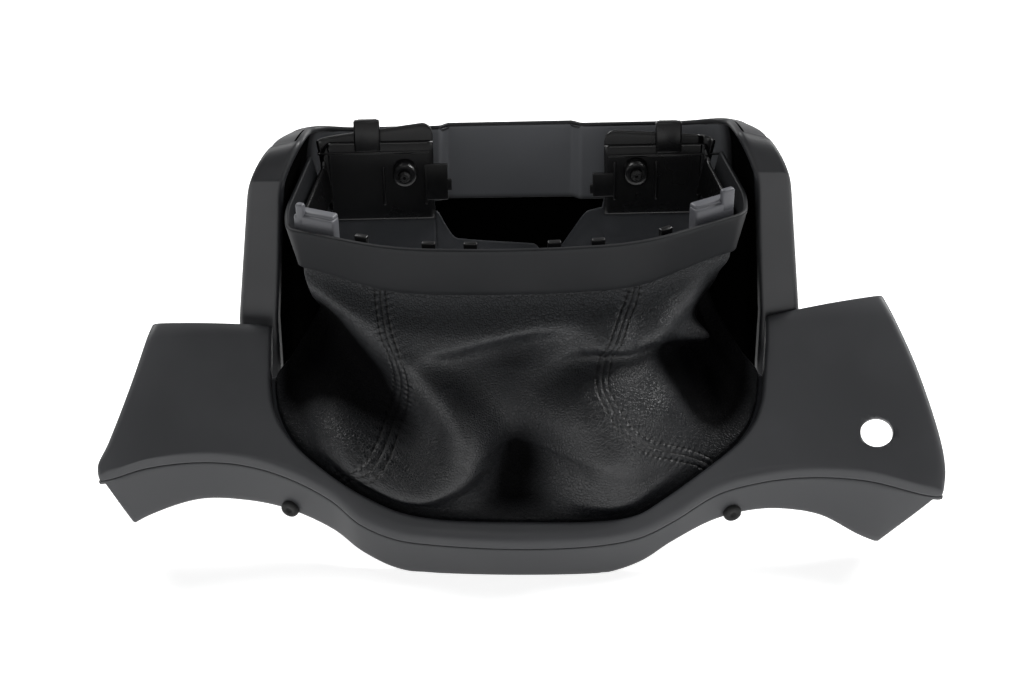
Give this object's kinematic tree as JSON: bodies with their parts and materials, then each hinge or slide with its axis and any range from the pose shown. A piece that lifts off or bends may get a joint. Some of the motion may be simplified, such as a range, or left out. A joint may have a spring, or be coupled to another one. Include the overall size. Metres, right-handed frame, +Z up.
{
  "type": "steering column trim",
  "caption": "Winged trim moulding with a hood and a folded leather gaiter under a clip-on ring, closing the gap around a car's steering column.",
  "frame": {"origin": "bottom centre of the part's box, on the table it stands on", "axes": "+X along the wings towards the right-hand wing in the picture, -Y towards the driver, +Z up"},
  "size_m": [0.3286, 0.1384, 0.1557],
  "materials": {
    "moulding": "fine grain",
    "leather": "soft sheen",
    "ring_band": "satin",
    "gloss_frame": "gloss",
    "guide_grey": "satin",
    "rubber": "matt",
    "steel": "plated"
  },
  "bodies": {
    "root": {"fascia": "moulding", "hood": "moulding", "gaiter": "leather", "gaiter_retainer": "moulding", "gaiter_ring": "ring_band", "clamp_ring": "gloss_frame", "guide_block_left": "guide_grey", "guide_block_right": "guide_grey", "retainer_screw_1": "steel", "retainer_screw_2": "steel", "retainer_screw_3": "steel", "retainer_screw_4": "steel", "retainer_screw_5": "steel", "retainer_screw_6": "steel", "hood_screw_1": "steel", "hood_screw_2": "steel", "hood_screw_3": "steel", "hood_screw_4": "steel", "plate_screw_left": "steel", "plate_screw_right": "steel", "spring_clip_1": "steel", "spring_clip_2": "steel", "spring_clip_3": "steel", "spring_clip_4": "steel", "edge_bumper_left": "rubber", "edge_bumper_right": "rubber"}
  },
  "joints": []
}
